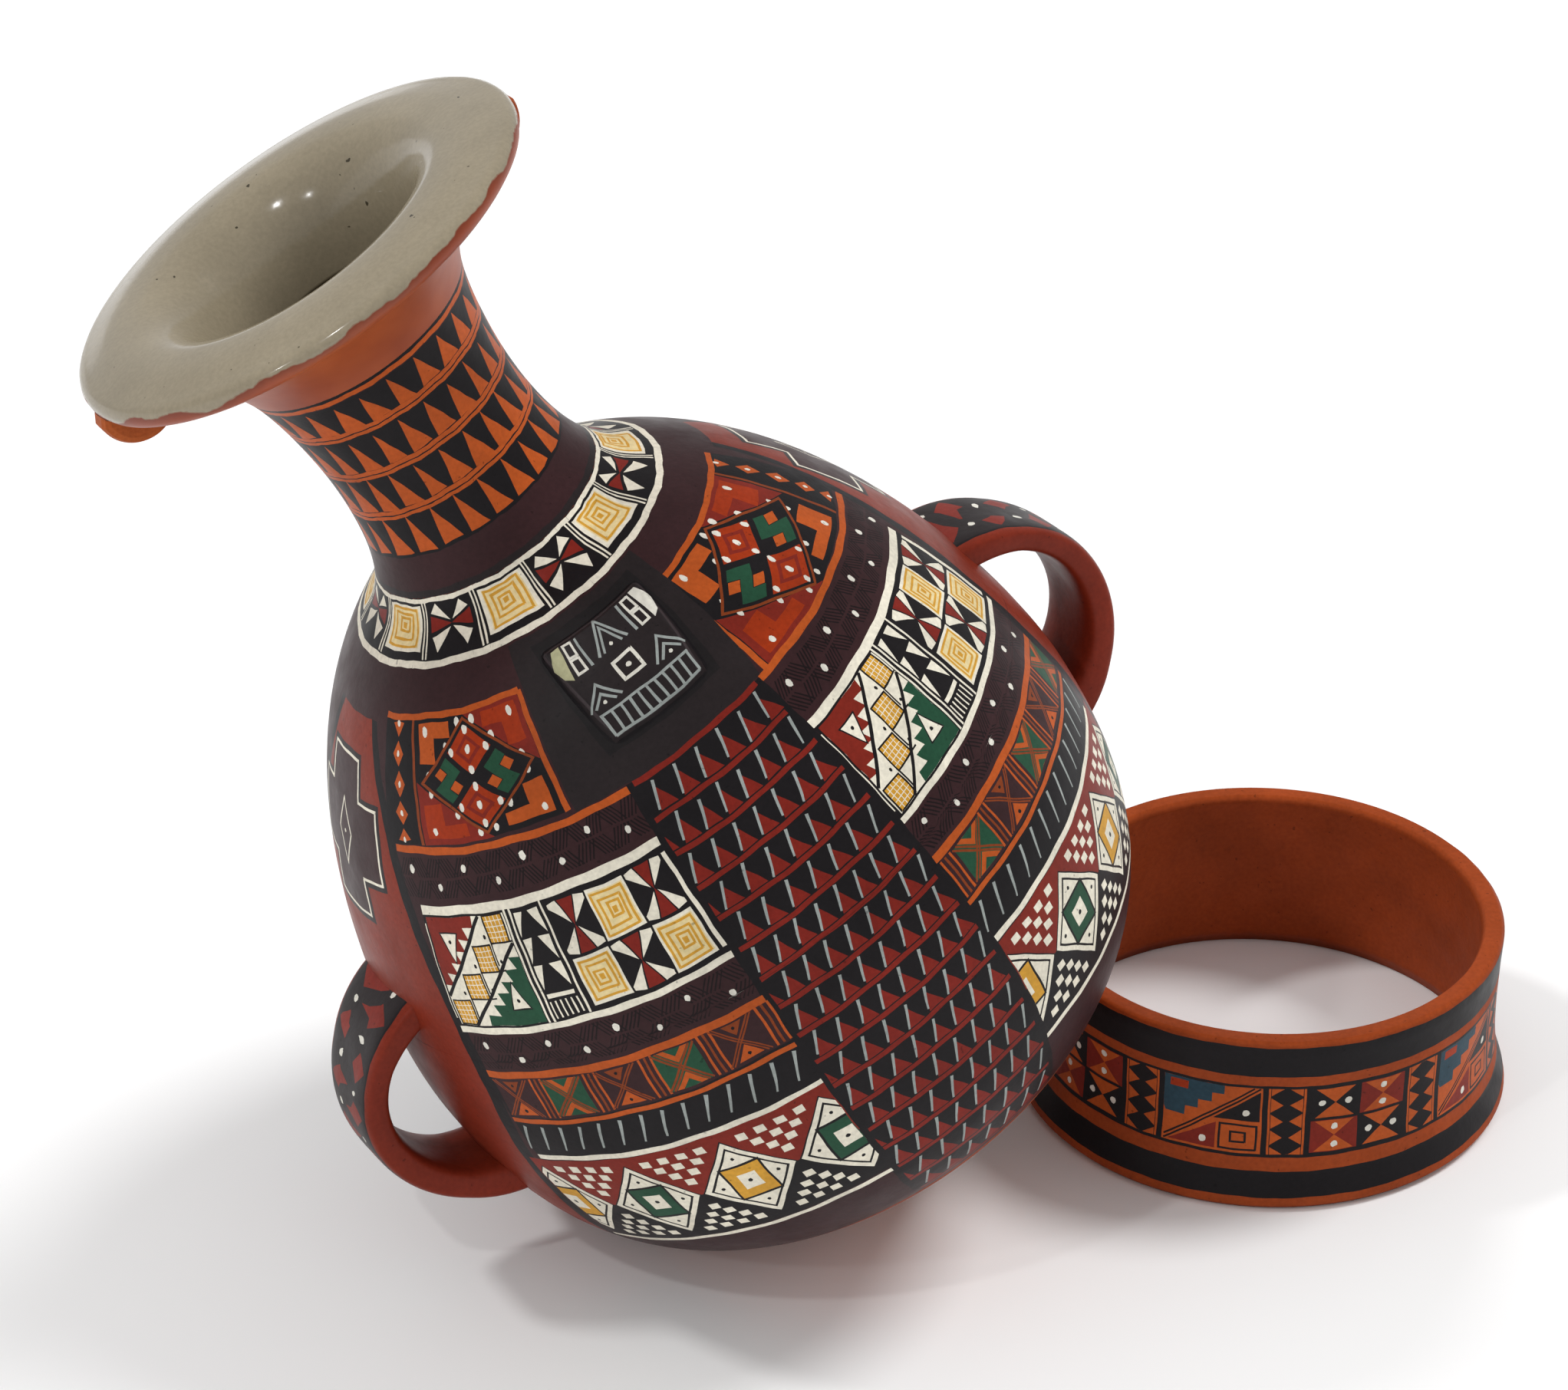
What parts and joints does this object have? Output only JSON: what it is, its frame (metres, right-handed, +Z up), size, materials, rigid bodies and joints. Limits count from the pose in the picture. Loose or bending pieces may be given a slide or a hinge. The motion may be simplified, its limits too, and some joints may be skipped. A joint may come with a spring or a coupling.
{
  "type": "painted clay jar with ring stand",
  "caption": "Painted clay jar with pointed base, flared glazed mouth and strap handles, lying beside its low ring stand.",
  "frame": {"origin": "on the ground, under the middle of the whole object's bounding box", "axes": "+Z up; +X runs along the length, from the jar's mouth to the ring stand; +Y points away from the side that shows the painted front"},
  "size_m": [0.3458, 0.1966, 0.2937],
  "materials": {
    "bare_clay": "unpainted fired orange clay, smoothed, matt",
    "belly_slips": "burnished painted slips in bands of geometric figures, satin",
    "shoulder_slips": "burnished painted slips with framed panels and a ring band, satin",
    "neck_slips": "rows of painted orange triangles on black slip, satin",
    "mouth_glaze": "grey-green glossy glaze in the mouth over an orange clay underside",
    "handle_slips": "red slip with painted blocks and white dots on the outer face",
    "ear_clay": "orange clay with a thin wash, matt",
    "plaque_slips": "black slip with fine white brush lines, satin",
    "stand_slips": "orange clay inside, black bands and a painted figure band outside"
  },
  "bodies": {
    "stand": {"ring_stand": "stand_slips"},
    "jar": {"base_cone": "bare_clay", "belly": "belly_slips", "shoulder": "shoulder_slips", "neck": "neck_slips", "flared_lip": "mouth_glaze", "handle_left": "handle_slips", "handle_right": "handle_slips", "lip_ear_left": "ear_clay", "lip_ear_right": "ear_clay", "front_plaque": "plaque_slips"}
  },
  "joints": [
    {"name": "jar_lift", "type": "slide", "parent": "stand", "child": "jar", "axis": [0, 0, 1], "range_m": [0, 0.1]}
  ]
}
